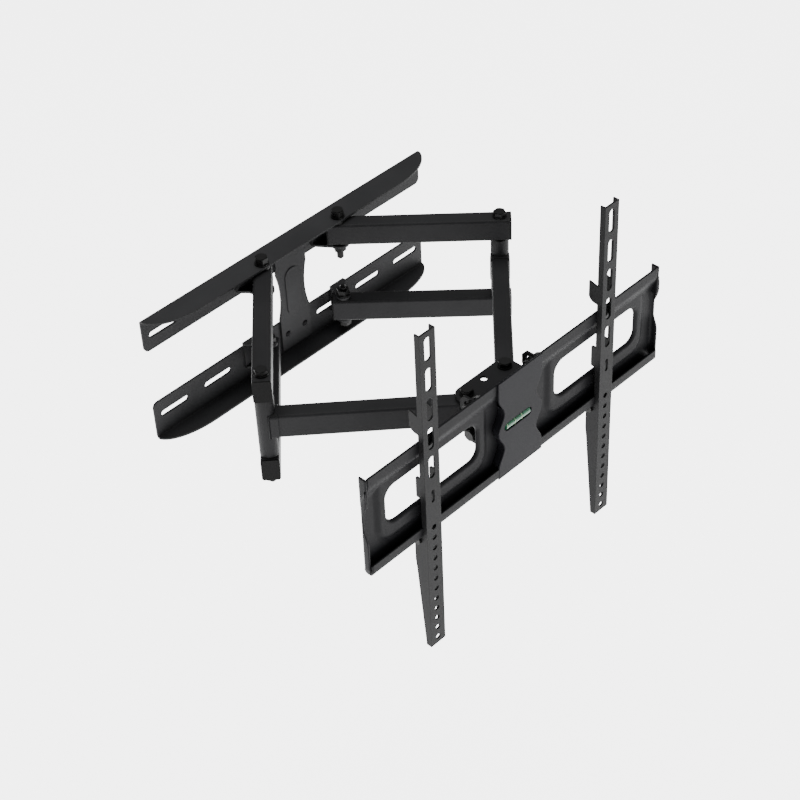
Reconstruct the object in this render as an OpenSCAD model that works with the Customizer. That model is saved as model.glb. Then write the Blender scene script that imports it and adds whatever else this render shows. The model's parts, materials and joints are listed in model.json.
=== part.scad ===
// Dual-arm wall mount for a television.
// Origin: on the wall, midway between the two rows of wall slots. +X right, +Y into the wall, +Z up.
// The wall is the plane y = 0, so the whole mount lies at negative y.

/* [Wall plate] */
// Width of the two wall rails
rail_w = 430; // [420:2:440]
// Height of the upper rail's wall flange
upper_rail_h = 44.5; // [44:0.5:46]
// Height of the lower rail's wall flange
lower_rail_h = 49.5; // [48:0.5:52]
// How far the upper rail's outer flange stands out from the wall
upper_rail_depth = 34; // [33.5:0.5:37]
// How far the lower rail's outer flange stands out from the wall
lower_rail_depth = 28; // [26:0.5:34]
// Distance of each rail's free edge from the middle of the plate
rail_edge_z = 36.5; // [36:0.5:37.5]
// Thickness of the rails' steel
rail_t = 2.5; // [2:0.5:3]
// Length of each wall slot from end to end
slot_l = 40; // [34:1:44]
// Width of each wall slot
slot_w = 7.5; // [6.5:0.5:9]
// Distance between the centres of neighbouring wall slots
slot_pitch = 65; // [62:1:66]
// Distance of the slots' centreline from the middle of the plate
slot_z = 56; // [55:1:58]

/* [Arms] */
// Half the distance between the left and right wall pivots
wall_pivot_x = 59; // [57:1:61]
// Distance of the wall pivots from the wall
wall_pivot_y = 25.5; // [25:0.5:27]
// Inner arms' length from pivot to pivot
inner_l = 183; // [178:1:190]
// Half the distance between the head's two pivots
head_pivot_x = 30; // [29:1:32]
// Angle of the inner arms from the wall at rest
rest_angle = 46.5; // [43:0.5:50]
// Width of the arm tubes
arm_w = 20.5; // [20:0.5:21]
// Height of the arm tubes
arm_h = 28; // [27:0.5:28.5]
// Wall thickness of the arm tubes
arm_t = 2; // [1.5:0.5:2.5]
// Height of the forearm tubes
forearm_h = 30; // [29:0.5:31]
// Height of the forearms' underside above the middle of the wall plate
forearm_z = -6; // [-7:0.5:-5]
// Drop from the upper inner arms to the lower ones
arm_drop = 109; // [107:1:109]

/* [Television side] */
// Width of the television plate
tv_w = 458; // [450:2:480]
// Height of the television plate
tv_h = 129; // [127:1:132]
// Height of the television plate's centre above the middle of the wall plate
tv_z = 9; // [8.5:0.5:9.5]
// Distance from the head's pivots to the front of the television brackets
head_reach = 56.4; // [56:0.1:57]
// Height of the television brackets
bracket_h = 430; // [420:2:450]
// Width of the television brackets
bracket_w = 22; // [20:1:24]
// Where the left bracket stands at rest
bracket_left_x = -143.5; // [-176:0.5:-84]
// Where the right bracket stands at rest
bracket_right_x = 132.5; // [84:0.5:176]

/* [Hidden] */

$fn = 48;
eps = 0.01;

// Fasteners: M8 bolts through everything that turns
bolt_r = 4;
bolt_hole_r = 4.2;
running_gap = 0.05;
washer_r = 8;
washer_t = 1.6;
hex_af = 13;
head_hex_h = 6.9;
tall_head_h = 9.6;
flange_gap = 2.5;
head_gap = 2.5;
nut_hex_h = 6.5;
thrust_t = 0.85;
thrust_gap = 0.15;
thrust = thrust_t + thrust_gap;

// Heights
rail_top = rail_edge_z + upper_rail_h;
rail_bend_r = 4;
upper_arm_z = rail_top - rail_t - flange_gap - thrust - arm_h;
lower_arm_z = upper_arm_z - arm_drop;
ear_t = 3;
upper_ear_r = 11.5;
lower_ear_r = 8.8;
upper_ear_in = 24;
lower_ear_in = 0;
ear_out = 22;
barrel_r = 10.5;
barrel_top = upper_arm_z - thrust;
barrel_bottom = lower_arm_z + arm_h + thrust;
tube_r = 3;
arm_start = -12;
arm_end = inner_l + 12;
cap_t = 1.5;

// Linkage: the forearm is as much longer than the inner arm as the wall pivots are further
// apart than the head pivots, so that both arms fold flat against the wall together
forearm_l = inner_l + wall_pivot_x - head_pivot_x;
elbow_x = wall_pivot_x + inner_l * cos(rest_angle);
elbow_y = -wall_pivot_y - inner_l * sin(rest_angle);
forearm_angle = acos((elbow_x - head_pivot_x) / forearm_l);
head_y = elbow_y - forearm_l * sin(forearm_angle);

// Head
head_t = 3;
head_r = 12.5;
head_top = forearm_z + forearm_h + thrust + head_gap + head_t;
head_bottom = forearm_z - thrust - head_t;
head_web_y = head_y - 12.5;
head_web_t = 2.5;
tilt_y = head_y - 26.3;
tilt_z = 4;
tilt_lock_r = 35;
tilt_lock_z = tilt_z + tilt_lock_r;
tilt_ear_x = 44.5;
tilt_ear_t = 2.5;
tilt_ear_gap = 0.3;
tilt_up = 5;
tilt_down = 12;

// Television plate: a pressed tray, open to the front, with two raised panels
bracket_y = head_y - head_reach;
bracket_t = 2;
bracket_lip = 7;
tv_front = bracket_y + bracket_lip + 0.3;
tv_depth = 10;
tv_rear = tv_front + tv_depth;
tv_t = 2;
panel_y = tv_front + 5;
tv_top = tv_z + tv_h / 2;
tv_bottom = tv_z - tv_h / 2;
top_strip = 11;
bottom_strip = 13;
panel_in = 56;
panel_out = 203;
panel_bottom = tv_bottom + 29;
bevel_x = 11;
bevel_z = 9;
window_in = 62;
window_out = 197;
window_low = tv_bottom + 43.5;
window_high = tv_top - 38;
window_r = 13;
rim_depth = 4;
rim_t = 1.5;

// Centre cover
cover_x = -3;
cover_t = 2;
cover_front = tv_front - cover_t - 0.3;
cover_top = tv_top + 1.7;
cover_bottom = tv_bottom - 1.5;
cover_wide = 34.5;
cover_waist = 25.5;
cover_bulge_z = 6;
cover_waist_drop = 24;
cover_skirt_t = 1.8;
vial_r = 4.5;
vial_l = 37;
vial_x = cover_x - 4;
vial_z = 9.5;
vial_y = cover_front + 3.6;
liquid_r = 3.5;
bubble_l = 8;

bracket_top = bracket_h / 2 - 4;
bracket_bottom = bracket_top - bracket_h;
hook_depth = 18;

// ---------- shared shapes ----------

// Rectangle with round corners, centred
module rounded_rect(w, h, r) {
    square([w - 2 * r, h], center = true);
    square([w, h - 2 * r], center = true);
    for (x = [-1, 1], y = [-1, 1]) translate([x * (w / 2 - r), y * (h / 2 - r)]) circle(r, $fn = 32);
}

// Hole through a sheet, from z = -d / 2 to d / 2, long along x, round ends
module slot_cut(l, w, d) {
    for (x = [-1, 1]) translate([x * (l - w) / 2, 0, 0]) cylinder(r = w / 2, h = d, center = true);
    cube([l - w, w, d], center = true);
}

// Hexagonal prism, z from 0 to h
module hex(af, h) {
    cylinder(r = af / sqrt(3), h = h, $fn = 6);
}

// Hexagon head on a washer, standing on z = 0, with a turned face on top
module bolt_head(h) {
    face = 0.7;
    cylinder(r = washer_r, h = washer_t);
    translate([0, 0, washer_t - eps]) hex(hex_af, h - washer_t - face + eps);
    translate([0, 0, h - face - eps]) cylinder(r = hex_af / 2 - 0.4, h = face + eps);
}

// Bolt whose head stands on z = 0 and whose shank goes down by shank to a pointed tip
module bolt(shank, head_h = head_hex_h) {
    tip = 2;
    bolt_head(head_h);
    translate([0, 0, -shank + tip]) cylinder(r = bolt_r, h = shank - tip + 0.5);
    translate([0, 0, -shank]) cylinder(r1 = bolt_r - 1.8, r2 = bolt_r, h = tip);
}

// Nut on a washer, hanging below z = 0, with a bore for the bolt
module nut() {
    difference() {
        union() {
            translate([0, 0, -washer_t]) cylinder(r = washer_r, h = washer_t);
            translate([0, 0, -washer_t - nut_hex_h]) hex(hex_af, nut_hex_h + eps);
        }
        translate([0, 0, -washer_t - nut_hex_h - 1])
            cylinder(r = bolt_r + running_gap, h = washer_t + nut_hex_h + 2);
    }
}

// Flanged bush: sleeve z from 0 to h, with a thrust flange at each end that asks for one
module bush(h, outer_r, flange_r, top_flange = true, bottom_flange = true) {
    low = bottom_flange ? -thrust_t : 0;
    high = top_flange ? h + thrust_t : h;
    difference() {
        union() {
            translate([0, 0, low]) cylinder(r = outer_r, h = high - low);
            if (top_flange) translate([0, 0, h]) cylinder(r = flange_r, h = thrust_t);
            if (bottom_flange) translate([0, 0, -thrust_t]) cylinder(r = flange_r, h = thrust_t);
        }
        translate([0, 0, -thrust_t - 1]) cylinder(r = bolt_r + running_gap, h = h + 2 * thrust_t + 2);
    }
}

// Everything on the right is drawn at +x, and its left twin is the mirror image
module on_side(side) {
    mirror([side < 0 ? 1 : 0, 0, 0]) children();
}

// Along the right inner arm: local x runs from the wall pivot to the elbow
module along_inner() {
    translate([wall_pivot_x, -wall_pivot_y, 0]) rotate([0, 0, -rest_angle]) children();
}

// Along the right forearm: local x runs from the head pivot to the elbow
module along_forearm() {
    translate([head_pivot_x, head_y, 0]) rotate([0, 0, forearm_angle]) children();
}

// Square tube with round corners, x from x0 to x1, z from 0 to h
module box_tube(x0, x1, h) {
    translate([x0, 0, h / 2]) rotate([90, 0, 90]) linear_extrude(x1 - x0) difference() {
        rounded_rect(arm_w, h, tube_r);
        rounded_rect(arm_w - 2 * arm_t, h - 2 * arm_t, tube_r - arm_t + 0.5);
    }
}

// ---------- wall plate ----------

// Outline of a rail's outer flange seen from above: straight front, elliptical ends
function flange_edge(x, depth) =
    -depth * sqrt(max(0, 1 - pow(max(0, abs(x) - rail_w / 2 + 64) / 65, 2)));
flange_steps = [for (i = [0:16]) rail_w / 2 - 64 + 64 * sin(i * 90 / 16)];

module flange_outline(depth) {
    right = [for (x = flange_steps) [x, flange_edge(x, depth)]];
    left = [for (i = [16:-1:0]) [-flange_steps[i], flange_edge(flange_steps[i], depth)]];
    polygon(concat([[rail_w / 2, 0], [-rail_w / 2, 0]], left, right));
}

// Section of a rail, y against z: wall flange, bend, outer flange at the top
module rail_section(h, depth) {
    bend = rail_bend_r;
    translate([-rail_t, 0]) square([rail_t, h - bend]);
    translate([-depth, h - rail_t]) square([depth - bend, rail_t]);
    translate([-bend, h - bend]) difference() {
        intersection() {
            circle(bend);
            square(bend);
        }
        circle(bend - rail_t);
    }
}

// Rail with its outer flange at z = h and its wall flange's free edge at z = 0
module rail(h, depth, pivot_holes) {
    corner_r = 7;
    row_z = slot_z - rail_edge_z;
    difference() {
        intersection() {
            translate([-rail_w / 2, 0, 0]) rotate([90, 0, 90]) linear_extrude(rail_w)
                rail_section(h, depth);
            linear_extrude(h) flange_outline(depth);
        }
        for (side = [-1, 1]) {
            for (i = [0:2]) {
                x = slot_pitch * (i + 1) - 9;
                translate([side * x, 0, row_z]) rotate([90, 0, 0])
                    slot_cut(slot_l, slot_w, 20);
            }
            if (pivot_holes) translate([side * wall_pivot_x, -wall_pivot_y, 0])
                cylinder(r = bolt_hole_r, h = h + 1);
            translate([side * (rail_w / 2 - corner_r), 0, corner_r]) rotate([90, 0, 0]) difference() {
                translate([side > 0 ? 0 : -corner_r - 1, -corner_r - 1, -10])
                    cube([corner_r + 1, corner_r + 1, 20]);
                cylinder(r = corner_r, h = 30, center = true);
            }
            translate([side * rivet_x, 0, row_z]) rotate([90, 0, 0])
                cylinder(r = rivet_r, h = 20, center = true);
        }
    }
}

module upper_rail() {
    color("#333336") translate([0, 0, rail_edge_z])
        rail(upper_rail_h, upper_rail_depth, true);
}

module lower_rail() {
    color("#2c2c2f") mirror([0, 0, 1]) translate([0, 0, rail_edge_z])
        rail(lower_rail_h, lower_rail_depth, false);
}

// Hourglass channel that joins the rails, standing proud of them, with a raised oval
column_t = 3;
column_half = 23;
column_end = rail_top - 4;
waist_r = 105;
waist_half = 18.3;
rivet_x = 13.5;
rivet_r = 2.4;

module column_outline() {
    difference() {
        square([2 * column_half, 2 * column_end], center = true);
        for (side = [-1, 1]) translate([side * (waist_half + waist_r), 0]) circle(waist_r, $fn = 96);
    }
}

module centre_column() {
    color("#37373b") difference() {
        union() {
            translate([0, -rail_t, 0]) rotate([90, 0, 0]) linear_extrude(column_t) column_outline();
            translate([0, -rail_t - column_t + eps, 0]) rotate([90, 0, 0]) oval_boss(11, 32.7, 1);
        }
        for (side = [-1, 1], z = [-slot_z, slot_z]) translate([side * rivet_x, 0, z]) rotate([90, 0, 0])
            cylinder(r = rivet_r, h = 30, center = true);
    }
}

// Upright oval pad of half width w and half height h, z from 0 to t
module oval_boss(w, h, t) {
    for (y = [-1, 1]) translate([0, y * (h - w), 0]) cylinder(r = w, h = t);
    translate([-w, w - h, 0]) cube([2 * w, 2 * (h - w), t]);
}

module column_rivets() {
    color("#18181a") for (side = [-1, 1], z = [-slot_z, slot_z])
        translate([side * rivet_x, 0, z]) rotate([90, 0, 0]) {
            cylinder(r = rivet_r, h = rail_t + column_t + eps);
            translate([0, 0, rail_t + column_t]) intersection() {
                cylinder(r = 4, h = 2);
                translate([0, 0, -3]) sphere(5);
            }
        }
}

// Ear plate around a wall pivot, z from 0 to ear_t, of radius r, reaching inboard of it by inner
module ear_plate(inner, r) {
    difference() {
        union() {
            translate([wall_pivot_x, -wall_pivot_y, 0]) cylinder(r = r, h = ear_t);
            linear_extrude(ear_t) translate([wall_pivot_x, 0]) polygon([[-inner, -rail_t],
                [-inner, -8], [-r, -wall_pivot_y], [r, -wall_pivot_y], [r + 3, -wall_pivot_y + 10],
                [ear_out, -7], [ear_out, -rail_t]]);
        }
        translate([wall_pivot_x, -wall_pivot_y, -1]) cylinder(r = bolt_hole_r, h = ear_t + 2);
    }
}

// Back plate of an ear, against the rail, from z0 to z1
module ear_back(inner, z0, z1) {
    translate([wall_pivot_x - inner, -rail_t - ear_t, z0]) cube([inner + ear_out, ear_t, z1 - z0]);
}

module upper_pivot_ear(side) {
    ear_z = upper_arm_z - thrust - ear_t;
    color("#2a2a2d") on_side(side) {
        translate([0, 0, ear_z]) ear_plate(upper_ear_in, upper_ear_r);
        ear_back(upper_ear_in, ear_z, rail_top - rail_bend_r - 0.5);
    }
}

module lower_pivot_clevis(side) {
    low = lower_arm_z - thrust - ear_t;
    high = lower_arm_z + arm_h + thrust;
    color("#2a2a2d") on_side(side) {
        translate([0, 0, low]) ear_plate(lower_ear_in, lower_ear_r);
        translate([0, 0, high]) ear_plate(lower_ear_in, lower_ear_r);
        ear_back(lower_ear_in, low, high + ear_t);
    }
}

module wall_pivot_bolts() {
    color("#1d1d1f") for (side = [-1, 1]) translate([side * wall_pivot_x, -wall_pivot_y, 0]) {
        translate([0, 0, rail_top]) bolt(58, tall_head_h);
        translate([0, 0, lower_arm_z - thrust - ear_t]) mirror([0, 0, 1]) bolt(49);
        // Spacer between the upper arm's bush and the rail's flange
        translate([0, 0, rail_top - rail_t - flange_gap]) cylinder(r = 9, h = flange_gap);
    }
}

module wall_pivot_nuts() {
    color("#1d1d1f") for (side = [-1, 1]) translate([side * wall_pivot_x, -wall_pivot_y, 0]) {
        translate([0, 0, upper_arm_z - thrust - ear_t]) nut();
        translate([0, 0, lower_arm_z + arm_h + thrust + ear_t]) mirror([0, 0, 1]) nut();
    }
}

// ---------- inner arms ----------

bush_r = 6;

module inner_arm(side, z) {
    color("#303033") on_side(side) translate([0, 0, z]) along_inner() difference() {
        box_tube(arm_start, arm_end, arm_h);
        translate([0, 0, -1]) cylinder(r = bush_r, h = arm_h + 2);
        translate([inner_l, 0, -1]) cylinder(r = bolt_hole_r, h = arm_h + 2);
    }
}

// Plastic plugs in both ends of both inner arms of one side
module inner_end_caps(side) {
    color("#161617") on_side(side) for (z = [upper_arm_z, lower_arm_z])
        translate([0, 0, z + arm_h / 2]) along_inner() {
            translate([arm_start, 0, 0]) rotate([90, 0, -90]) end_plug();
            translate([arm_end, 0, 0]) rotate([90, 0, 90]) end_plug();
        }
}

module end_plug() {
    linear_extrude(cap_t) rounded_rect(arm_w, arm_h, tube_r);
    translate([0, 0, -4]) linear_extrude(4) difference() {
        rounded_rect(arm_w - 2 * arm_t - 0.2, arm_h - 2 * arm_t - 0.2, 1.4);
        rounded_rect(arm_w - 2 * arm_t - 3, arm_h - 2 * arm_t - 3, 1.2);
    }
}

module wall_bushes(side) {
    color("#e8e8e2") on_side(side) for (z = [upper_arm_z, lower_arm_z])
        translate([0, 0, z]) along_inner() bush(arm_h, bush_r, 8.6);
}

module elbow_bolt(side) {
    color("#1d1d1f") on_side(side) translate([elbow_x, elbow_y, upper_arm_z + arm_h])
        bolt(arm_drop + arm_h + 13);
}

module elbow_nut(side) {
    color("#1d1d1f") on_side(side) translate([elbow_x, elbow_y, lower_arm_z]) nut();
}

// ---------- forearms ----------

bush_bore_r = 8;
bush_l = 14;
knuckle_t = 1.2;

module forearm_tube(side) {
    color("#303033") on_side(side) translate([0, 0, forearm_z]) along_forearm() difference() {
        union() {
            box_tube(8, forearm_l - 5, forearm_h);
            // Folded sleeve that doubles the tube's sides where it meets the elbow barrel
            translate([forearm_l - 13, 0, forearm_h / 2]) rotate([90, 0, 90]) linear_extrude(8.5)
                rounded_rect(arm_w + 2 * knuckle_t, forearm_h + 2 * knuckle_t, tube_r + knuckle_t);
        }
        translate([forearm_l, 0, -5]) cylinder(r = barrel_r + eps, h = forearm_h + 10);
        translate([0, 0, -5]) cylinder(r = barrel_r + eps, h = forearm_h + 10);
        translate([0, 0, forearm_h / 2]) rotate([90, 0, 90]) linear_extrude(forearm_l)
            rounded_rect(arm_w - 2 * arm_t, forearm_h - 2 * arm_t, tube_r - arm_t + 0.5);
    }
}

// Tube that the elbow bolt runs through, with a seat for a bush at each end
module elbow_barrel(side) {
    barrel_h = barrel_top - barrel_bottom;
    color("#2b2b2e") on_side(side) translate([elbow_x, elbow_y, barrel_bottom]) difference() {
        cylinder(r = barrel_r, h = barrel_h);
        translate([0, 0, -1]) cylinder(r = bush_bore_r, h = barrel_h + 2);
    }
}

module elbow_bushes(side) {
    color("#e8e8e2") on_side(side) translate([elbow_x, elbow_y, 0]) {
        translate([0, 0, barrel_bottom]) bush(bush_l, bush_bore_r, barrel_r, false, true);
        translate([0, 0, barrel_top - bush_l]) bush(bush_l, bush_bore_r, barrel_r, true, false);
    }
}

// The right barrel has a wide bore round the head bolt, because that pivot is left open
head_slack = 2.2;

module head_barrel(side) {
    bore = side < 0 ? bush_r : bolt_r + head_slack + 1.6;
    color("#2b2b2e") on_side(side) translate([head_pivot_x, head_y, forearm_z]) difference() {
        cylinder(r = barrel_r, h = forearm_h);
        translate([0, 0, -1]) cylinder(r = bore, h = forearm_h + 2);
    }
}

module head_bushes_left() {
    color("#e8e8e2") translate([-head_pivot_x, head_y, forearm_z]) bush(forearm_h, bush_r, 9.5);
}

module head_bushes_right() {
    color("#e8e8e2") translate([head_pivot_x, head_y, forearm_z]) difference() {
        union() {
            translate([0, 0, -thrust_t])
                cylinder(r = bolt_r + head_slack + 1.6, h = forearm_h + 2 * thrust_t);
            for (z = [-thrust_t, forearm_h]) translate([0, 0, z]) cylinder(r = 10, h = thrust_t);
        }
        translate([0, 0, -5]) cylinder(r = bolt_r + head_slack, h = forearm_h + 10);
    }
}

// ---------- head and tilt ----------

// Top or bottom plate of the head: round at both pivots, straight front, z from 0 to head_t
module head_plate() {
    for (side = [-1, 1]) translate([side * head_pivot_x, head_y, 0]) cylinder(r = head_r, h = head_t);
    translate([-head_pivot_x, head_y, 0]) cube([2 * head_pivot_x, head_r, head_t]);
    translate([-head_pivot_x - head_r, head_web_y - head_web_t, 0])
        cube([2 * (head_pivot_x + head_r), head_y - head_web_y + head_web_t, head_t]);
}

// Side view of the head's tilt ear, y against z, narrower at the top to leave room for the tilt
module head_ear_outline() {
    back = head_web_y + eps;
    front = tilt_y - 6.5;
    polygon([[back, tilt_z - 9], [front, tilt_z - 9], [front, tilt_z + 12],
        [tilt_y - 3.5, tilt_lock_z + 6.5], [tilt_y + 6, tilt_lock_z + 6.5], [back, head_top]]);
}

module head_bracket() {
    color("#2e2e31") difference() {
        union() {
            translate([0, 0, head_top - head_t]) head_plate();
            translate([0, 0, head_bottom]) head_plate();
            translate([-tilt_ear_x - tilt_ear_t, head_web_y - head_web_t, head_bottom])
                cube([2 * (tilt_ear_x + tilt_ear_t), head_web_t, head_top - head_bottom]);
            for (side = [-1, 1]) translate([side * (tilt_ear_x + tilt_ear_t / 2) - tilt_ear_t / 2, 0, 0])
                rotate([90, 0, 90]) linear_extrude(tilt_ear_t) head_ear_outline();
        }
        for (side = [-1, 1]) translate([side * head_pivot_x, head_y, head_bottom - 1])
            cylinder(r = bolt_hole_r, h = head_top - head_bottom + 2);
        translate([0, head_y + 3, head_bottom - 1]) cylinder(r = 4, h = head_top - head_bottom + 2);
        for (z = [tilt_z, tilt_lock_z]) translate([0, tilt_y, z]) rotate([0, 90, 0])
            cylinder(r = bolt_hole_r, h = 2 * tilt_ear_x + 20, center = true);
    }
}

module head_bolts() {
    color("#1d1d1f") for (side = [-1, 1]) translate([side * head_pivot_x, head_y, head_top]) {
        bolt(head_top - head_bottom + 13);
        // Spacer between the forearm's bush and the head's top plate
        translate([0, 0, -head_t - head_gap]) cylinder(r = 9, h = head_gap);
    }
}

module head_nuts() {
    color("#1d1d1f") for (side = [-1, 1]) translate([side * head_pivot_x, head_y, head_bottom]) nut();
}

// Face of the tilt bracket's ears that the bolts' washers sit on
tilt_outer_x = tilt_ear_x + 2 * tilt_ear_t + tilt_ear_gap;

module tilt_pivot_bolts() {
    color("#1d1d1f") for (side = [-1, 1]) on_side(side)
        translate([tilt_outer_x + tilt_ear_gap, tilt_y, tilt_z]) rotate([0, 90, 0]) bolt(20);
}

module tilt_pivot_nuts() {
    color("#1d1d1f") for (side = [-1, 1]) on_side(side)
        translate([tilt_ear_x, tilt_y, tilt_z]) rotate([0, 90, 0]) nut();
}

module tilt_lock_rod() {
    color("#1d1d1f") translate([0, tilt_y, tilt_lock_z]) rotate([0, 90, 0])
        cylinder(r = bolt_r, h = 2 * tilt_outer_x + 20, center = true);
}

// Nuts on the rod: a pair outside the tilt bracket's ears and a pair inside the head's ears
module tilt_lock_nuts() {
    color("#1d1d1f") for (side = [-1, 1]) on_side(side) {
        translate([tilt_outer_x + tilt_ear_gap, tilt_y, tilt_lock_z]) rotate([0, -90, 0]) nut();
        translate([tilt_ear_x, tilt_y, tilt_lock_z]) rotate([0, 90, 0]) nut();
    }
}

// Curved slot round the tilt axis that the locking rod runs in, cut along x, y against z
module tilt_slot_outline() {
    half = bolt_hole_r + 0.3;
    outer = [for (a = [-tilt_up:1:tilt_down]) (tilt_lock_r + half) * [sin(a), cos(a)]];
    low_end = [for (t = [15:15:165])
        tilt_lock_r * [sin(tilt_down), cos(tilt_down)] + half * [sin(tilt_down + t), cos(tilt_down + t)]];
    inner = [for (a = [tilt_down:-1:-tilt_up]) (tilt_lock_r - half) * [sin(a), cos(a)]];
    high_end = [for (t = [195:15:345])
        tilt_lock_r * [sin(-tilt_up), cos(-tilt_up)] + half * [sin(t - tilt_up), cos(t - tilt_up)]];
    polygon(concat(outer, low_end, inner, high_end));
}

// Side view of the tilt bracket's ear seen from the tilt axis, y against z
module tilt_ear_outline() {
    base = tv_rear - tilt_y;
    difference() {
        polygon([[base, -14], [4, -14], [9, -8], [9, 18], [17.5, 25], [17.5, 37], [12, 43.5],
            [-9.5, 43.5], [-9.5, 31], [base, 26]]);
        circle(bolt_r + running_gap);
        tilt_slot_outline();
    }
}

tilt_screw_x = 16;
tilt_screw_z = [-4, 24];

module tilt_bracket() {
    base_t = 2.5;
    color("#2a2a2d") difference() {
        union() {
            translate([-tilt_outer_x, tv_rear, tilt_z - 14]) cube([2 * tilt_outer_x, base_t, 42]);
            for (side = [-1, 1]) on_side(side) translate([tilt_outer_x - tilt_ear_t, tilt_y, tilt_z])
                rotate([90, 0, 90]) linear_extrude(tilt_ear_t) tilt_ear_outline();
        }
        for (x = [-1, 1], z = tilt_screw_z) translate([x * tilt_screw_x, tv_rear, z]) rotate([90, 0, 0])
            cylinder(r = 2.6, h = 20, center = true);
        translate([0, tv_rear, 10]) rotate([90, 0, 0]) cylinder(r = 11, h = 20, center = true);
    }
}

module tilt_bracket_screws() {
    color("#1d1d1f") for (x = [-1, 1], z = tilt_screw_z)
        translate([x * tilt_screw_x, tv_rear, z]) rotate([90, 0, 0]) {
        translate([0, 0, tv_t]) cylinder(r = 4.5, h = 2.6);
        translate([0, 0, -6.5]) cylinder(r = 2.5, h = 6.5 + tv_t + eps);
        translate([0, 0, -6]) hex(8, 3.4);
    }
}

// ---------- television plate ----------

// Raised panel seen from above, x against y: sloping sides from the rear plane forward
module panel_plan(side) {
    polygon([for (p = [[panel_in - bevel_x, tv_rear], [panel_in, panel_y], [panel_out, panel_y],
        [panel_out + bevel_x, tv_rear]]) [side * p[0], p[1]]]);
}

// Raised area in section, y against z: slope from the rear plane up over run, then y = front
module raised_section(front, low, run) {
    polygon([[tv_rear, low - run], [front, low], [front, tv_top], [tv_rear, tv_top]]);
}

module panel_boss(side) {
    intersection() {
        translate([0, 0, tv_bottom]) linear_extrude(tv_h) panel_plan(side);
        translate([-tv_w / 2, 0, 0]) rotate([90, 0, 90]) linear_extrude(tv_w)
            raised_section(panel_y, panel_bottom, bevel_z);
    }
}

module strip_boss() {
    translate([-tv_w / 2 + 3, 0, 0]) rotate([90, 0, 90]) linear_extrude(tv_w - 6)
        raised_section(tv_front, tv_top - top_strip, 24);
}

// Window in a raised panel, drawn upright, x against z
module window_outline(side, grow) {
    w = window_out - window_in + 2 * grow;
    h = window_high - window_low + 2 * grow;
    translate([side * (window_in + window_out) / 2, (window_low + window_high) / 2])
        rounded_rect(w, h, window_r + grow);
}

module upright(y, depth) {
    translate([0, y, 0]) rotate([90, 0, 0]) linear_extrude(depth) children();
}

// End lip seen from the side, y against z, with a wave cut into its front edge
wave_z = tv_z + 9;
wave_half = 29;
wave_cut = 6.5;

module end_lip_outline() {
    wave = [for (i = [0:16]) let (a = i * 360 / 16 - 180)
        [tv_front + wave_cut * (1 + cos(a)) / 2, wave_z - wave_half * a / 180]];
    polygon(concat([[tv_rear, tv_top], [tv_front, tv_top]], wave,
        [[tv_front, tv_bottom + 2], [tv_front + 2, tv_bottom], [tv_rear, tv_bottom]]));
}

module tv_plate() {
    color("#3a3a3e") {
        difference() {
            union() {
                // Rear plane
                upright(tv_rear, tv_t) translate([-tv_w / 2, tv_bottom]) square([tv_w, tv_h]);
                for (side = [-1, 1]) panel_boss(side);
                strip_boss();
            }
            translate([0, tv_t, 0]) {
                for (side = [-1, 1]) panel_boss(side);
                strip_boss();
            }
            for (side = [-1, 1]) upright(tv_rear + 1, tv_depth + 2) window_outline(side, 0);
            for (x = [-1, 1], z = tilt_screw_z) translate([x * tilt_screw_x, tv_rear, z]) rotate([90, 0, 0])
                cylinder(r = 2.6, h = 20, center = true);
            // Relief slots between the top strip and the end lips
            for (side = [-1, 1]) translate([side * (tv_w / 2 - 2.5) - 1, tv_front - 1, tv_top - 15])
                cube([2, tv_depth + 2, 16]);
        }
        for (side = [-1, 1]) {
            upright(tv_front + rim_depth, rim_depth) difference() {
                window_outline(side, rim_t / 2);
                window_outline(side, -rim_t / 2);
            }
            translate([side * (tv_w / 2 - tv_t / 2) - tv_t / 2, 0, 0]) rotate([90, 0, 90])
                linear_extrude(tv_t) end_lip_outline();
        }
        translate([-tv_w / 2 + 1, tv_front, tv_bottom]) cube([tv_w - 2, tv_depth, tv_t]);
        translate([-tv_w / 2 + 1, tv_front, tv_bottom]) cube([tv_w - 2, tv_t, bottom_strip]);
    }
}

// ---------- centre cover and level ----------

// Half width of the cover at height z: wide ends, two waists and a bulge between them
function cover_half(z) =
    let (u = (z - cover_bulge_z) / cover_waist_drop)
    abs(u) < 1 ? cover_waist + (cover_wide - cover_waist) * (1 + cos(180 * u)) / 2
        : cover_waist + (cover_wide - cover_waist) * min(1, (abs(u) - 1) * 1.1);

cover_steps = 24;

// Cover's outline between heights low and high, drawn smaller all round by inset
module cover_outline(low, high, inset) {
    levels = [for (i = [0:cover_steps]) low + (high - low) * i / cover_steps];
    right = [for (z = levels) [cover_x + cover_half(z) - inset, z]];
    left = [for (i = [cover_steps:-1:0]) [cover_x - cover_half(levels[i]) + inset, levels[i]]];
    polygon(concat(right, left));
}

module centre_cover() {
    skirt_low = tv_bottom + bottom_strip + 1;
    skirt_high = tv_top - top_strip - 25;
    skirt_depth = 8;
    color("#3b3b40") difference() {
        union() {
            upright(cover_front + cover_t, cover_t) cover_outline(cover_bottom, cover_top, 0);
            // Side walls that stand in the tray of the plate
            upright(cover_front + cover_t + skirt_depth, skirt_depth + eps) difference() {
                cover_outline(skirt_low, skirt_high, 1);
                cover_outline(skirt_low + cover_skirt_t, skirt_high - cover_skirt_t, 1 + cover_skirt_t);
            }
            // Lip that hooks over the top of the plate
            translate([cover_x - 24, cover_front + cover_t - eps, tv_top + 0.2])
                cube([48, 6, cover_top - tv_top - 0.2]);
        }
        translate([vial_x, cover_front, vial_z]) rotate([90, 0, 0])
            slot_cut(vial_l + 2 * vial_r + 1, 2 * vial_r + 0.6, 12);
    }
}

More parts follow.
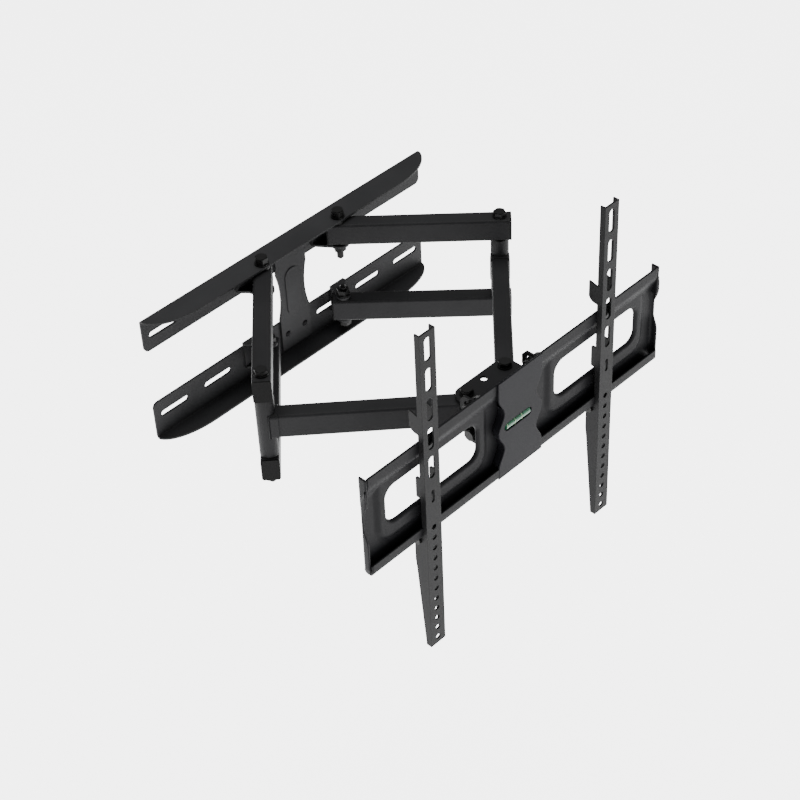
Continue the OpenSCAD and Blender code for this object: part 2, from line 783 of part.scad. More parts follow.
// Tray behind the cover that holds the vial
module level_housing() {
    color("#161617") difference() {
        translate([vial_x - 21, cover_front + cover_t + 0.2, vial_z - 7]) cube([42, 7, 14]);
        translate([vial_x, vial_y, vial_z]) rotate([0, 90, 0])
            cylinder(r = vial_r + 0.02, h = vial_l + 0.4, center = true);
        translate([vial_x, cover_front + cover_t, vial_z])
            cube([vial_l + 0.4, 2 * (vial_y - cover_front - cover_t), 2 * vial_r + 0.04], center = true);
    }
}

module level_vial() {
    color("#2f9e63") translate([vial_x, vial_y, vial_z]) rotate([0, 90, 0]) difference() {
        cylinder(r = vial_r, h = vial_l, center = true);
        cylinder(r = liquid_r, h = vial_l - 3, center = true);
    }
}

module level_liquid() {
    color("#35b06e") translate([vial_x, vial_y, vial_z]) rotate([0, 90, 0]) difference() {
        cylinder(r = liquid_r, h = vial_l - 3, center = true);
        translate([-1.4, 0, 0]) bubble(0);
    }
}

// Air bubble, long along z, at the top of the liquid
module bubble(shrink) {
    r = 1.5 - shrink;
    cylinder(r = r, h = bubble_l - 3, center = true);
    for (z = [-1, 1]) translate([0, 0, z * (bubble_l - 3) / 2]) sphere(r);
}

module level_bubble() {
    color("#f2f6ee") translate([vial_x, vial_y, vial_z]) rotate([0, 90, 0])
        translate([-1.4, 0, 0]) bubble(0.05);
}

// ---------- television brackets ----------

slot_first = 20.8;
bracket_slot_pitch = 38;
bracket_slot_count = 5;
bracket_slot_l = 28.5;
bracket_slot_w = 8.5;
hole_first = slot_first + 400 - 165;
hole_pitch = 15;
hole_count = 12;
bracket_hole_r = 3.3;
keyhole_t = 212.5;
lock_z = tv_bottom - 7.5;
lock_y = bracket_y + 12.5;

// Side flange of a bracket, y against z: hook above the plate, tab in the window, deep foot
module bracket_flange_outline() {
    lip = bracket_y + bracket_lip;
    back = bracket_y + hook_depth;
    tab = bracket_y + 13;
    foot = tv_bottom - 1.2;
    tab_high = window_high - 10;
    tab_low = window_low + 10;
    polygon([[bracket_y, bracket_top], [lip, bracket_top],
        [lip, tv_top + 34], [back - 2, tv_top + 36.5], [back + 0.6, tv_top + 37], [back + 0.6, tv_top + 17],
        [back - 2, tv_top + 13], [back - 6, tv_top + 11], [lip, tv_top + 10.5],
        [lip, tab_high], [tab - 1, tab_high], [tab, tab_high - 1.5], [tab, tab_low + 1],
        [tab - 1, tab_low], [lip, tab_low],
        [lip, foot], [back, foot], [back, foot - 38], [back - 1.5, foot - 50],
        [lip, bracket_bottom], [bracket_y, bracket_bottom]]);
}

module tv_bracket(x) {
    color("#3c3c3f") translate([x, 0, 0]) difference() {
        union() {
            translate([-bracket_w / 2, bracket_y, bracket_bottom]) cube([bracket_w, bracket_t, bracket_h]);
            for (side = [-1, 1]) translate([side * (bracket_w / 2 - 0.9) - 0.9, 0, 0]) rotate([90, 0, 90])
                linear_extrude(1.8) bracket_flange_outline();
        }
        for (i = [0:bracket_slot_count - 1])
            translate([0, bracket_y, bracket_top - slot_first - bracket_slot_pitch * i])
                rotate([0, 90, 90]) slot_cut(bracket_slot_l, bracket_slot_w, 10);
        translate([0, bracket_y, bracket_top - keyhole_t]) rotate([0, 90, 90]) slot_cut(17, 4.4, 10);
        for (i = [0:hole_count - 1]) translate([0, bracket_y, bracket_top - hole_first - hole_pitch * i])
            rotate([90, 0, 0]) cylinder(r = bracket_hole_r, h = 10, center = true);
        translate([0, lock_y, lock_z]) rotate([0, 90, 0]) cylinder(r = 2.6, h = 40, center = true);
    }
}

// Security screw across a bracket, just under the television plate
module bracket_lock(x) {
    color("#1d1d1f") translate([x - bracket_w / 2, lock_y, lock_z]) rotate([0, 90, 0]) {
        translate([0, 0, -3]) cylinder(r = 4.6, h = 3);
        cylinder(r = 2.5, h = bracket_w + 4.5);
        translate([0, 0, bracket_w]) hex(8, 4);
    }
}

upper_rail();
lower_rail();
centre_column();
column_rivets();
upper_pivot_ear(-1);  // upper_pivot_ear_left
upper_pivot_ear(1);  // upper_pivot_ear_right
lower_pivot_clevis(-1);  // lower_pivot_clevis_left
lower_pivot_clevis(1);  // lower_pivot_clevis_right
wall_pivot_bolts();
wall_pivot_nuts();
inner_arm(-1, upper_arm_z);  // upper_inner_arm_left
inner_arm(-1, lower_arm_z);  // lower_inner_arm_left
inner_end_caps(-1);  // inner_end_caps_left
wall_bushes(-1);  // wall_bushes_left
elbow_bolt(-1);  // elbow_bolt_left
elbow_nut(-1);  // elbow_nut_left
inner_arm(1, upper_arm_z);  // upper_inner_arm_right
inner_arm(1, lower_arm_z);  // lower_inner_arm_right
inner_end_caps(1);  // inner_end_caps_right
wall_bushes(1);  // wall_bushes_right
elbow_bolt(1);  // elbow_bolt_right
elbow_nut(1);  // elbow_nut_right
forearm_tube(-1);  // forearm_tube_left
elbow_barrel(-1);  // elbow_barrel_left
elbow_bushes(-1);  // elbow_bushes_left
head_barrel(-1);  // head_barrel_left
head_bushes_left();
forearm_tube(1);  // forearm_tube_right
elbow_barrel(1);  // elbow_barrel_right
elbow_bushes(1);  // elbow_bushes_right
head_barrel(1);  // head_barrel_right
head_bushes_right();
head_bracket();
head_bolts();
head_nuts();
tilt_pivot_bolts();
tilt_pivot_nuts();
tilt_lock_rod();
tilt_lock_nuts();
tilt_bracket();
tilt_bracket_screws();
tv_plate();
centre_cover();
level_housing();
level_vial();
level_liquid();
level_bubble();
tv_bracket(bracket_left_x);  // bracket_left
tv_bracket(bracket_right_x);  // bracket_right
bracket_lock(bracket_left_x);  // bracket_lock_left
bracket_lock(bracket_right_x);  // bracket_lock_right
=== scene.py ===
import bpy
import bmesh
import json
import math
from mathutils import Matrix, Vector


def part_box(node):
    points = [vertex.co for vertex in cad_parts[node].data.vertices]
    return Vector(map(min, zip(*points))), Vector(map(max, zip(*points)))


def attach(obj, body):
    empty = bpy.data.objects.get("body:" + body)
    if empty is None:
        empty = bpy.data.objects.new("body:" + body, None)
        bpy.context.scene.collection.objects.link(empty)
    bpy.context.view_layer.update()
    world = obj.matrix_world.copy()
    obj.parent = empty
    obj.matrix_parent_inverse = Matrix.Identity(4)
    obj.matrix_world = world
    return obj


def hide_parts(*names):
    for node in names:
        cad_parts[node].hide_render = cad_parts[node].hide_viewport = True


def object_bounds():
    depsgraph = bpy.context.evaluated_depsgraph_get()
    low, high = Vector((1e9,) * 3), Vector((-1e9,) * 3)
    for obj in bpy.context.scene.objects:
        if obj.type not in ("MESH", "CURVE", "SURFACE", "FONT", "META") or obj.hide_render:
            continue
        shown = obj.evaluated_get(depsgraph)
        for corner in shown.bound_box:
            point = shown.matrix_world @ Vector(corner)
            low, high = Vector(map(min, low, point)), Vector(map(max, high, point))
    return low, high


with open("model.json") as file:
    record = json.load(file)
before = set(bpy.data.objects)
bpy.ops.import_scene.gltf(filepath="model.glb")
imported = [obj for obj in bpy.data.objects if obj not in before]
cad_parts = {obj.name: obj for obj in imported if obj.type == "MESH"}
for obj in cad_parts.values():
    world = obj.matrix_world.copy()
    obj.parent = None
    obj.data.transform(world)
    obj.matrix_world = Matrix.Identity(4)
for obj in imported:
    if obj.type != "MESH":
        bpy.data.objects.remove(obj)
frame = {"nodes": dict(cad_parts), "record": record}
cad_low, cad_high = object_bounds()
nodes = frame["nodes"]

# ---------- materials ----------


def new_material(name):
    m = bpy.data.materials.new(name)
    m.use_nodes = True
    tree = m.node_tree
    tree.nodes.clear()
    out = tree.nodes.new("ShaderNodeOutputMaterial")
    bsdf = tree.nodes.new("ShaderNodeBsdfPrincipled")
    tree.links.new(bsdf.outputs["BSDF"], out.inputs["Surface"])
    return m, tree, bsdf


def noise(tree, scale, detail=2.0, rough=0.5, stretch=(1, 1, 1)):
    coord = tree.nodes.new("ShaderNodeTexCoord")
    mapping = tree.nodes.new("ShaderNodeMapping")
    mapping.inputs["Scale"].default_value = stretch
    tree.links.new(coord.outputs["Object"], mapping.inputs["Vector"])
    n = tree.nodes.new("ShaderNodeTexNoise")
    n.inputs["Scale"].default_value = scale
    n.inputs["Detail"].default_value = detail
    n.inputs["Roughness"].default_value = rough
    tree.links.new(mapping.outputs["Vector"], n.inputs["Vector"])
    return n


def ramp(tree, source, low, high, a=0.35, b=0.65):
    r = tree.nodes.new("ShaderNodeMapRange")
    r.inputs["From Min"].default_value = a
    r.inputs["From Max"].default_value = b
    r.inputs["To Min"].default_value = low
    r.inputs["To Max"].default_value = high
    tree.links.new(source, r.inputs["Value"])
    return r.outputs["Result"]


def coated(name, colour, rough=0.5, grain=900, bump=0.12, edge=0.0006, spec=0.05):
    """Powder coat or moulded plastic: fine orange-peel grain, slow colour drift, softened edges."""
    m, tree, bsdf = new_material(name)
    drift = noise(tree, 14, 3)
    fine = noise(tree, grain, 2)
    mix = tree.nodes.new("ShaderNodeMix")
    mix.data_type = "RGBA"
    tree.links.new(ramp(tree, drift.outputs["Fac"], 0, 1), mix.inputs["Factor"])
    mix.inputs["A"].default_value = [c * 0.86 for c in colour] + [1]
    mix.inputs["B"].default_value = [c * 1.12 for c in colour] + [1]
    tree.links.new(mix.outputs["Result"], bsdf.inputs["Base Color"])
    tree.links.new(ramp(tree, fine.outputs["Fac"], rough - 0.06, rough + 0.07), bsdf.inputs["Roughness"])
    bsdf.inputs["Specular IOR Level"].default_value = spec
    b = tree.nodes.new("ShaderNodeBump")
    b.inputs["Strength"].default_value = bump
    b.inputs["Distance"].default_value = 0.0002
    tree.links.new(fine.outputs["Fac"], b.inputs["Height"])
    soft = tree.nodes.new("ShaderNodeBevel")
    soft.samples = 4
    soft.inputs["Radius"].default_value = edge
    tree.links.new(soft.outputs["Normal"], b.inputs["Normal"])
    tree.links.new(b.outputs["Normal"], bsdf.inputs["Normal"])
    return m


def clear(name, colour, rough, transmission):
    m, tree, bsdf = new_material(name)
    n = noise(tree, 60, 2)
    mix = tree.nodes.new("ShaderNodeMix")
    mix.data_type = "RGBA"
    tree.links.new(ramp(tree, n.outputs["Fac"], 0, 1), mix.inputs["Factor"])
    mix.inputs["A"].default_value = [c * 0.9 for c in colour] + [1]
    mix.inputs["B"].default_value = list(colour) + [1]
    tree.links.new(mix.outputs["Result"], bsdf.inputs["Base Color"])
    bsdf.inputs["Roughness"].default_value = rough
    bsdf.inputs["Transmission Weight"].default_value = transmission
    bsdf.inputs["IOR"].default_value = 1.45
    return m


# wall_steel, arm_steel, head_steel, bracket_steel and plate_steel are one black powder coat in lit and
# shaded copies: painted light and shade sets each part's base colour, lightest on the wall rails, then the
# arms, head and bracket, darkest on the plate
MATERIALS = {
    "wall_steel": coated("wall_steel", (0.0180, 0.0180, 0.0188)),
    "arm_steel": coated("arm_steel", (0.0120, 0.0120, 0.0126)),
    "head_steel": coated("head_steel", (0.0080, 0.0080, 0.0084)),
    "plate_steel": coated("plate_steel", (0.0055, 0.0055, 0.0062)),
    "bracket_steel": coated("bracket_steel", (0.0075, 0.0075, 0.0079)),
    "rivet_steel": coated("rivet_steel", (0.0042, 0.0042, 0.0046), 0.4),
    "fastener_steel": coated("fastener_steel", (0.0022, 0.0022, 0.0022), rough=0.42, grain=1500,
                             bump=0.05, edge=0.0004, spec=0.1),
    "cap_plastic": coated("cap_plastic", (0.0025, 0.0025, 0.0025), 0.55),
    "cover_plastic": coated("cover_plastic", (0.0055, 0.0055, 0.0068), 0.5),
    "housing_plastic": coated("housing_plastic", (0.0025, 0.0025, 0.0025), 0.5),
    "bush_plastic": coated("bush_plastic", (0.0050, 0.0050, 0.0050), 0.4),
    "vial_plastic": clear("vial_plastic", (0.01, 0.14, 0.06), 0.08, 0.5),
    "level_liquid": clear("level_liquid", (0.01, 0.12, 0.05), 0.05, 0.3),
    "level_bubble": clear("level_bubble", (0.30, 0.42, 0.20), 0.2, 0.1),
}
slots = {s["node"]: s["material_slot"] for s in frame["record"]["subparts"]}
for name, obj in nodes.items():
    obj.data.materials.clear()
    obj.data.materials.append(MATERIALS[slots[name]])

# ---------- pressed plate ----------

MM = 0.001


def smooth(t):
    t = max(0.0, min(1.0, t))
    return t * t * (3 - 2 * t)


def rounded_distance(x, z, cx, cz, hw, hh, r):
    """Signed distance to a rounded rectangle's outline, negative inside."""
    dx, dz = abs(x - cx) - hw + r, abs(z - cz) - hh + r
    return math.hypot(max(dx, 0), max(dz, 0)) + min(max(dx, dz), 0) - r


def new_piece(name, bm, node):
    """A piece of the visual model that rides with its CAD node and wears that node's material."""
    me = bpy.data.meshes.new(name)
    bm.to_mesh(me)
    bm.free()
    me.polygons.foreach_set("use_smooth", [True] * len(me.polygons))
    o = bpy.data.objects.new(name, me)
    bpy.context.scene.collection.objects.link(o)
    me.materials.append(MATERIALS[slots[node]])
    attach(o, body_of[node])
    return o


body_of = {n: b for b, ns in frame["record"]["behaviour"]["bodies"].items() for n in ns}
plate_low, plate_high = (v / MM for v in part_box("tv_plate"))
SHEET = 2.0
HALF = (plate_high.x - plate_low.x) / 2
TOP, BOTTOM, FRONT = plate_high.z, plate_low.z, plate_low.y
FLOOR_DEPTH, PANEL_DEPTH, STRIP, STRIP_RUN = 8.0, 5.0, 11.0, 24.0
PANEL_IN, PANEL_OUT, PANEL_BOTTOM = 56.0, 203.0, BOTTOM + 29.0
BEVEL_X, BEVEL_Z, PANEL_CORNER, PANEL_RISE = 11.0, 9.0, 24.0, 20.0
WINDOW_IN, WINDOW_OUT, WINDOW_CORNER = 62.0, 197.0, 13.0
WINDOW_LOW, WINDOW_HIGH = BOTTOM + 43.5, TOP - 38.0
# middle, half width, half height and corner radius
WINDOW = ((WINDOW_IN + WINDOW_OUT) / 2, (WINDOW_LOW + WINDOW_HIGH) / 2,
          (WINDOW_OUT - WINDOW_IN) / 2, (WINDOW_HIGH - WINDOW_LOW) / 2, WINDOW_CORNER)
RIM_R, RIM_DEPTH = 4.5, 4.0
# distances from the window's edge at which the curled rim has a ring of points
RIM_STEPS = [0, 0.25, 0.6, 1.1, 1.8, 2.6, 3.5, RIM_R]
WINDOW_SPACING, ARC_STEPS, PLATE_RINGS = 2.6, 12, 46
LIP_R, BOTTOM_LIP, CORNER_INSET = 3.0, 13.0, 0.2
WAVE_Z, WAVE_HALF, WAVE_CUT = 13.0, 29.0, 7.5
BEND_STEPS, LIP_STEPS = 5, 4
# the end lip stops this far below the top, where the relief slit is
RELIEF = 13.5
UPPER_LIP, UPPER_LIP_ROWS, UPPER_LIP_INSET, UPPER_LIP_PAST = 38.0, 24, 0.05, 1.5


def plate_depth(x, z):
    """How far the sheet's front lies behind the plate's front plane, for x from 0 to HALF."""
    slope = smooth((z - (TOP - STRIP - STRIP_RUN)) / STRIP_RUN)
    strip = FLOOR_DEPTH * (1 - slope)
    cx, cz = (PANEL_IN + PANEL_OUT) / 2, (PANEL_BOTTOM + TOP) / 2 + PANEL_RISE
    half_w, half_h = (PANEL_OUT - PANEL_IN) / 2 + BEVEL_X, TOP + 2 * PANEL_RISE - cz + BEVEL_Z
    inside = -rounded_distance(x, z, cx, cz, half_w, half_h, PANEL_CORNER)
    if z < cz:
        inside = min(inside, z - (PANEL_BOTTOM - BEVEL_Z))
    panel = FLOOR_DEPTH - (FLOOR_DEPTH - PANEL_DEPTH) * smooth(inside / BEVEL_Z)
    return min(strip, panel)


def rim_depth(distance):
    """Extra depth of the curled window edge at that distance outside the opening."""
    if distance >= RIM_R:
        return 0.0
    u = 1 - max(distance, 0) / RIM_R
    return RIM_DEPTH * (1 - math.sqrt(max(0.0, 1 - u * u)))


def window_ring():
    """Points round the window's outline, anticlockwise, seen with x to the right and z up."""
    cx, cz, hw, hh, r = WINDOW
    points = []
    sides = [(cx + hw - r, cz + hh - r, 0), (cx - hw + r, cz + hh - r, 90), (cx - hw + r, cz - hh + r, 180),
             (cx + hw - r, cz - hh + r, 270)]
    for k, (ax, az, start) in enumerate(sides):
        for i in range(ARC_STEPS + 1):
            a = math.radians(start + 90 * i / ARC_STEPS)
            points.append((ax + r * math.cos(a), az + r * math.sin(a)))
        bx, bz, _ = sides[(k + 1) % 4]
        a = math.radians(start + 90)
        x0, z0 = ax + r * math.cos(a), az + r * math.sin(a)
        x1, z1 = bx + r * math.cos(a), bz + r * math.sin(a)
        n = max(2, int(math.hypot(x1 - x0, z1 - z0) / WINDOW_SPACING))
        points += [(x0 + (x1 - x0) * i / n, z0 + (z1 - z0) * i / n) for i in range(1, n)]
    return points


def outer_point(x, z):
    """Where the ray from the window's middle through this point leaves the half plate."""
    cx, cz = WINDOW[:2]
    dx, dz = x - cx, z - cz
    limits = []
    if dx > 1e-9:
        limits.append((HALF - LIP_R - cx) / dx)
    if dx < -1e-9:
        limits.append(-cx / dx)
    if dz > 1e-9:
        limits.append((TOP - cz) / dz)
    if dz < -1e-9:
        limits.append((BOTTOM + LIP_R - cz) / dz)
    t = min(limits)
    return cx + dx * t, cz + dz * t


def lip_front(z):
    """Depth of the end lip's free edge at height z: a wave is cut into it."""
    u = (z - WAVE_Z) / WAVE_HALF
    return WAVE_CUT * (1 + math.cos(math.pi * u)) / 2 if abs(u) < 1 else 0.0


def outward(x, z, distance):
    """The point at that distance from a point of the window's outline, square to the outline."""
    cx, cz, hw, hh, r = WINDOW
    nx = x - max(min(x, cx + hw - r), cx - hw + r)
    nz = z - max(min(z, cz + hh - r), cz - hh + r)
    n = math.hypot(nx, nz) or 1
    return x + nx / n * distance, z + nz / n * distance


def sheet_rings():
    """Rings of points from the window's edge to the border of the right half plate."""
    inner = window_ring()
    outer = [outer_point(x, z) for x, z in inner]
    corners = [(HALF - LIP_R, TOP), (0.0, TOP), (0.0, BOTTOM + LIP_R), (HALF - LIP_R, BOTTOM + LIP_R)]
    for cx, cz in corners:
        nearest = min(range(len(outer)), key=lambda i: math.hypot(outer[i][0] - cx, outer[i][1] - cz))
        outer[nearest] = (cx, cz)
    rings = [[outward(x, z, distance) for x, z in inner] for distance in RIM_STEPS]
    last = rings[-1]
    for k in range(1, PLATE_RINGS + 1):
        t = k / PLATE_RINGS
        rings.append([(x + (ox - x) * t, z + (oz - z) * t) for (x, z), (ox, oz) in zip(last, outer)])
    return rings


def bridge(bm, first, second, flip):
    """Faces between two rows of the same length."""
    for k in range(len(second) - 1):
        quad = (first[k], first[k + 1], second[k + 1], second[k])
        bm.faces.new(quad[::-1] if flip else quad)


def add_sheet(bm, rings, side):
    """The sheet of one half plate; returns the points of its border."""
    grid = []
    for k, ring in enumerate(rings):
        extra = rim_depth(RIM_STEPS[k]) if k < len(RIM_STEPS) else 0
        grid.append([bm.verts.new((side * x, FRONT + plate_depth(x, z) + extra, z)) for x, z in ring])
    for first, second in zip(grid, grid[1:]):
        bridge(bm, first + first[:1], second + second[:1], side < 0)
    return grid[-1]


def add_bottom_lip(bm, border, side):
    """The sheet's lower edge, bent forward and then up; it closes the corner under the end lip."""
    row = sorted((v for v in border if abs(v.co.z - BOTTOM - LIP_R) < 1e-6), key=lambda v: v.co.x)
    corner = bm.verts.new((side * (HALF - CORNER_INSET), FRONT + FLOOR_DEPTH, BOTTOM + LIP_R))
    prev = row + [corner] if side > 0 else [corner] + row
    across = [v.co.x for v in prev]
    angles = [math.radians(90 * i / BEND_STEPS) for i in range(1, BEND_STEPS + 1)]
    profile = [(FLOOR_DEPTH - LIP_R * (1 - math.cos(a)), BOTTOM + LIP_R * (1 - math.sin(a)))
               for a in angles]
    profile += [(LIP_R * (1 - math.sin(a)), BOTTOM + LIP_R * (1 - math.cos(a))) for a in angles]
    profile += [(0, BOTTOM + h) for h in (6, 9, BOTTOM_LIP - 0.6, BOTTOM_LIP)]
    for depth, z in profile:
        row = [bm.verts.new((x, FRONT + depth, z)) for x in across]
        bridge(bm, prev, row, False)
        prev = row


def add_end_lip(bm, border, side):
    """The sheet's end, bent forward, with a wave in its free edge."""
    prev = sorted((v for v in border if abs(abs(v.co.x) - HALF + LIP_R) < 1e-6 and v.co.z < TOP - RELIEF),
                  key=lambda v: v.co.z)
    roots = [(v.co.y - FRONT, v.co.z) for v in prev]
    for i in range(1, BEND_STEPS + LIP_STEPS + 1):
        row = []
        for base, z in roots:
            r = min(LIP_R, base)
            tip = min(lip_front(z), base - r)
            if i <= BEND_STEPS:
                a = math.radians(90 * i / BEND_STEPS)
                x, depth = HALF - LIP_R + LIP_R * math.sin(a), base - r * (1 - math.cos(a))
            else:
                x, depth = HALF, (base - r) + (tip - base + r) * (i - BEND_STEPS) / LIP_STEPS
            row.append(bm.verts.new((side * x, FRONT + depth, z)))
        bridge(bm, prev, row, side > 0)
        prev = row


def add_upper_lip(bm, side):
    """Upper part of the end lip, which stands behind the sheet where that slopes forward."""
    prev = None
    rear = FLOOR_DEPTH + UPPER_LIP_PAST
    for i in range(UPPER_LIP_ROWS + 1):
        z = TOP - UPPER_LIP + UPPER_LIP * i / UPPER_LIP_ROWS
        tip = lip_front(z)
        depths = [tip + (rear - tip) * k / LIP_STEPS for k in range(LIP_STEPS, -1, -1)]
        row = [bm.verts.new((side * (HALF - UPPER_LIP_INSET), FRONT + depth, z)) for depth in depths]
        if prev:
            bridge(bm, prev, row, side < 0)
        prev = row


def build_plate():
    bm = bmesh.new()
    rings = sheet_rings()
    for side in (1, -1):
        border = add_sheet(bm, rings, side)
        add_bottom_lip(bm, border, side)
        add_end_lip(bm, border, side)
        add_upper_lip(bm, side)
    bmesh.ops.remove_doubles(bm, verts=bm.verts, dist=0.01)
    bmesh.ops.recalc_face_normals(bm, faces=bm.faces)
    bmesh.ops.scale(bm, vec=(MM, MM, MM), verts=bm.verts)
    return bm


plate = new_piece("pressed_plate", build_plate(), "tv_plate")
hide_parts("tv_plate")
thick = plate.modifiers.new("thickness", "SOLIDIFY")
thick.thickness = SHEET * MM
thick.offset = -1

# ---------- centre cover ----------


def mesh_of_curve(curve):
    """The mesh that Blender makes of a curve, which is then dropped."""
    o = bpy.data.objects.new(curve.name, curve)
    bpy.context.scene.collection.objects.link(o)
    me = bpy.data.meshes.new_from_object(o.evaluated_get(bpy.context.evaluated_depsgraph_get()))
    bpy.data.objects.remove(o)
    return me


def curve_mesh(name, splines, depth, round_r, y_front):
    """A flat moulding drawn upright (x, z in mm), depth thick behind y_front, with rounded edges."""
    cu = bpy.data.curves.new(name, "CURVE")
    cu.dimensions = "2D"
    cu.fill_mode = "BOTH"
    cu.extrude = max(depth / 2 - round_r, 0) * MM
    cu.bevel_depth = round_r * MM
    cu.bevel_resolution = 3
    cu.offset = -round_r * MM
    for points in splines:
        sp = cu.splines.new("POLY")
        sp.points.add(len(points) - 1)
        for p, (x, z) in zip(sp.points, points):
            p.co = (x * MM, z * MM, 0, 1)
        sp.use_cyclic_u = True
    me = mesh_of_curve(cu)
    stand = Matrix.Rotation(math.pi / 2, 4, "X")
    me.transform(Matrix.Translation((0, (y_front + depth / 2) * MM, 0)) @ stand)
    return me


def join(meshes):
    bm = bmesh.new()
    for me in meshes:
        bm.from_mesh(me)
        bpy.data.meshes.remove(me)
    return bm


cover_low, cover_high = (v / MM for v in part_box("centre_cover"))
vial_low, vial_high = (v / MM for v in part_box("level_vial"))
COVER_X = (cover_low.x + cover_high.x) / 2
COVER_WIDE, COVER_WAIST, BULGE_Z, WAIST_DROP = (cover_high.x - cover_low.x) / 2, 25.5, 6.0, 24.0


def cover_half(z):
    u = abs((z - BULGE_Z) / WAIST_DROP)
    if u < 1:
        return COVER_WAIST + (COVER_WIDE - COVER_WAIST) * (1 + math.cos(math.pi * u)) / 2
    return COVER_WAIST + (COVER_WIDE - COVER_WAIST) * smooth(u - 1)


def cover_loop(low, high, inset, steps=56):
    zs = [low + inset + (high - low - 2 * inset) * i / steps for i in range(steps + 1)]
    edge = [(cover_half(z) - inset, z) for z in zs]
    return [(COVER_X + h, z) for h, z in edge] + [(COVER_X - h, z) for h, z in reversed(edge)]


def stadium(cx, cz, length, width, steps=12):
    r = width / 2
    points = []
    for sx, start in ((1, -90), (-1, 90)):
        for i in range(steps + 1):
            a = math.radians(start + 180 * i / steps)
            points.append((cx + sx * (length / 2 - r) + r * math.cos(a), cz + r * math.sin(a)))
    return points


vial_mid = (vial_low + vial_high) / 2
vial_r = (vial_high.z - vial_low.z) / 2
OPENING_EXTRA_L, OPENING_EXTRA_W = 5.0, 1.2
COVER_T, COVER_EDGE_R = 2.0, 0.9
WALL_DEPTH, WALL_EDGE_R, WALL_START, WALL_OUT, WALL_IN = 8.4, 0.3, 1.2, 0.4, 2.4
opening = stadium(vial_mid.x, vial_mid.z, vial_high.x - vial_low.x + OPENING_EXTRA_L,
                  2 * vial_r + OPENING_EXTRA_W)
face_outline = cover_loop(cover_low.z, cover_high.z, 0)
face = curve_mesh("cover_face", [face_outline, opening], COVER_T, COVER_EDGE_R, cover_low.y)
wall_low, wall_high = BOTTOM + BOTTOM_LIP + 1, TOP - STRIP - STRIP_RUN - 1
wall_outlines = [cover_loop(wall_low, wall_high, inset) for inset in (WALL_OUT, WALL_IN)]
walls = curve_mesh("cover_walls", wall_outlines, WALL_DEPTH, WALL_EDGE_R, cover_low.y + WALL_START)
cover = new_piece("cover_moulding", join([face, walls]), "centre_cover")
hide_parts("centre_cover")


def tube_piece(name, points, radii, node):
    """A round bead along a closed path given in mm."""
    cu = bpy.data.curves.new(name, "CURVE")
    cu.dimensions = "3D"
    cu.bevel_depth = MM
    cu.bevel_resolution = 3
    sp = cu.splines.new("POLY")
    sp.points.add(len(points) - 1)
    for p, at, r in zip(sp.points, points, radii):
        p.co = (at[0] * MM, at[1] * MM, at[2] * MM, 1)
        p.radius = r
    sp.use_cyclic_u = True
    return new_piece(name, join([mesh_of_curve(cu)]), node)


def ring_piece(name, x, r, bead):
    """A round bead of radius bead, in a ring of radius r about the vial's axis."""
    angles = [math.radians(a) for a in range(0, 360, 10)]
    ring = [(x, vial_mid.y + r * math.cos(a), vial_mid.z + r * math.sin(a)) for a in angles]
    tube_piece(name, ring, [bead] * len(ring), "level_bubble")


# two marks on the vial, either side of its bubble, and the seal near its left end
MARK_OFFSET, MARK_PROUD, MARK_BEAD = 5.4, 0.05, 0.25
SEAL_INSET, SEAL_SUNK, SEAL_BEAD = 1.6, 0.5, 0.6
for side_name, side in (("left", -1), ("right", 1)):
    ring_piece("level_mark_" + side_name, vial_mid.x + side * MARK_OFFSET, vial_r + MARK_PROUD, MARK_BEAD)
ring_piece("level_end_seal", vial_low.x + SEAL_INSET, vial_r - SEAL_SUNK, SEAL_BEAD)

# ---------- weld beads ----------

# The bead wraps the barrel over this many degrees each side of the tube's line
WELD_SPREAD, WELD_STEP = 76, 4
WELD_INSET, WELD_PROUD, WELD_R, WELD_RIPPLE, RIPPLE_RATE = 0.9, 0.1, 0.85, 0.18, 1.9


def weld(name, node, middle, along, across, r, z_low, z_high):
    """A rippled bead round a barrel, along the tube's upper and lower edges."""
    upper = range(-WELD_SPREAD, WELD_SPREAD + 1, WELD_STEP)
    path = []
    for z, angles in ((z_high - WELD_INSET, upper), (z_low + WELD_INSET, reversed(upper))):
        for degrees in angles:
            a = math.radians(degrees)
            p = middle + (along * math.cos(a) + across * math.sin(a)) * (r + WELD_PROUD)
            path.append((p.x, p.y, z))
    radii = [WELD_R + WELD_RIPPLE * math.sin(RIPPLE_RATE * i) for i in range(len(path))]
    tube_piece(name, path, radii, node)


for side in ("left", "right"):
    tube_low, tube_high = (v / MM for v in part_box("forearm_tube_" + side))
    barrels = {}
    for end in ("elbow", "head"):
        low, high = (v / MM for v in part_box(end + "_barrel_" + side))
        barrels[end] = ((low + high) / 2, (high.x - low.x) / 2)
    along = barrels["head"][0] - barrels["elbow"][0]
    along.z = 0
    along.normalize()
    across = Vector((-along.y, along.x, 0))
    for end, sign in (("elbow", 1), ("head", -1)):
        middle, r = barrels[end]
        weld("weld_%s_%s" % (end, side), "forearm_tube_" + side, middle, along * sign, across, r,
             tube_low.z, tube_high.z)

# ---------- stage, lights, camera ----------


def area(name, at, target, size, power):
    light = bpy.data.lights.new(name, "AREA")
    light.shape = "RECTANGLE"
    light.size, light.size_y = size
    light.energy = power
    o = bpy.data.objects.new(name, light)
    o.location = at
    o.rotation_euler = (Vector(target) - Vector(at)).to_track_quat("-Z", "Y").to_euler()
    bpy.context.scene.collection.objects.link(o)


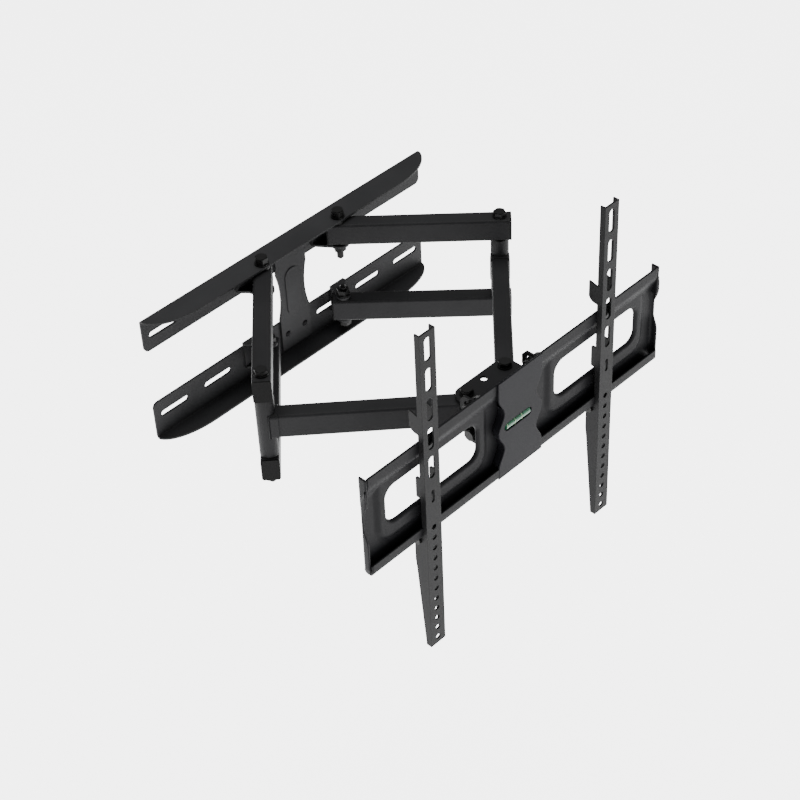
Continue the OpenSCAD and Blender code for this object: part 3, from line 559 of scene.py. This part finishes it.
def make_floor(z):
    bm = bmesh.new()
    bmesh.ops.create_grid(bm, x_segments=8, y_segments=8, size=14)
    me = bpy.data.meshes.new("floor")
    bm.to_mesh(me)
    bm.free()
    o = bpy.data.objects.new("floor", me)
    o.location = (0, 0, z)
    bpy.context.scene.collection.objects.link(o)
    m, tree, bsdf = new_material("floor_paint")
    n = noise(tree, 3, 2)
    mix = tree.nodes.new("ShaderNodeMix")
    mix.data_type = "RGBA"
    tree.links.new(n.outputs["Fac"], mix.inputs["Factor"])
    mix.inputs["A"].default_value = (0.90, 0.90, 0.90, 1)
    mix.inputs["B"].default_value = (0.93, 0.93, 0.93, 1)
    tree.links.new(mix.outputs["Result"], bsdf.inputs["Base Color"])
    bsdf.inputs["Roughness"].default_value = 0.8
    bsdf.inputs["Emission Color"].default_value = (1, 1, 1, 1)
    bsdf.inputs["Emission Strength"].default_value = 4.0
    me.materials.append(m)


FLOOR_DROP = 0.45
make_floor(cad_low.z - FLOOR_DROP)
world = bpy.data.worlds.new("world")
world.use_nodes = True
world.node_tree.nodes["Background"].inputs["Color"].default_value = (1, 1, 1, 1)
world.node_tree.nodes["Background"].inputs["Strength"].default_value = 0.5
bpy.context.scene.world = world
middle = (cad_low + cad_high) / 2
area("key", (0.9, -2.6, 0.9), middle, (1.8, 1.2), 10)
area("top", (0.2, 0.2, 2.6), middle, (2.4, 2.4), 105)

cam_data = bpy.data.cameras.new("camera")
cam = bpy.data.objects.new("camera", cam_data)
bpy.context.scene.collection.objects.link(cam)
azimuth, elevation, roll = (math.radians(v) for v in (-44.33, 40.58, -2.91))
back = Vector((math.sin(azimuth) * math.cos(elevation), -math.cos(azimuth) * math.cos(elevation),
               math.sin(elevation)))
right = (-back).cross(Vector((0, 0, 1))).normalized()
up = right.cross(-back)
right, up = right * math.cos(roll) + up * math.sin(roll), up * math.cos(roll) - right * math.sin(roll)
turn = Matrix((right, up, back)).transposed().to_4x4()
cam.matrix_world = Matrix.Translation((-1.1720, -1.3714, 1.3641)) @ turn
cam_data.sensor_width = 36
cam_data.lens = 88.24
cam_data.clip_end = 60
bpy.context.scene.camera = cam
